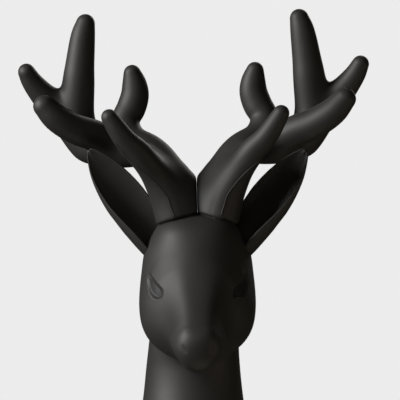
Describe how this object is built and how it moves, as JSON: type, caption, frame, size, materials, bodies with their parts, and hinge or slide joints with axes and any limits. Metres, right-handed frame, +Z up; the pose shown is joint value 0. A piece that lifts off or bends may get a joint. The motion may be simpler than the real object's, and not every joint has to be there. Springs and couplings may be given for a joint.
{
  "type": "plastic deer bust",
  "caption": "Moulded matte black plastic deer bust: neck, long muzzle, cupped ears and branched antlers, standing on the flat cut of its neck.",
  "frame": {"origin": "centre of the flat underside of the neck", "axes": "+Z up, along the bust's height; the deer looks along -Y; its own left side is +X"},
  "size_m": [0.2674, 0.1611, 0.336],
  "materials": {
    "body_plastic": "matte",
    "ear_plastic": "matte",
    "antler_plastic": "matte"
  },
  "bodies": {
    "root": {"head_and_neck": "body_plastic", "left_ear": "ear_plastic", "left_antler": "antler_plastic", "right_ear": "ear_plastic", "right_antler": "antler_plastic"}
  },
  "joints": []
}
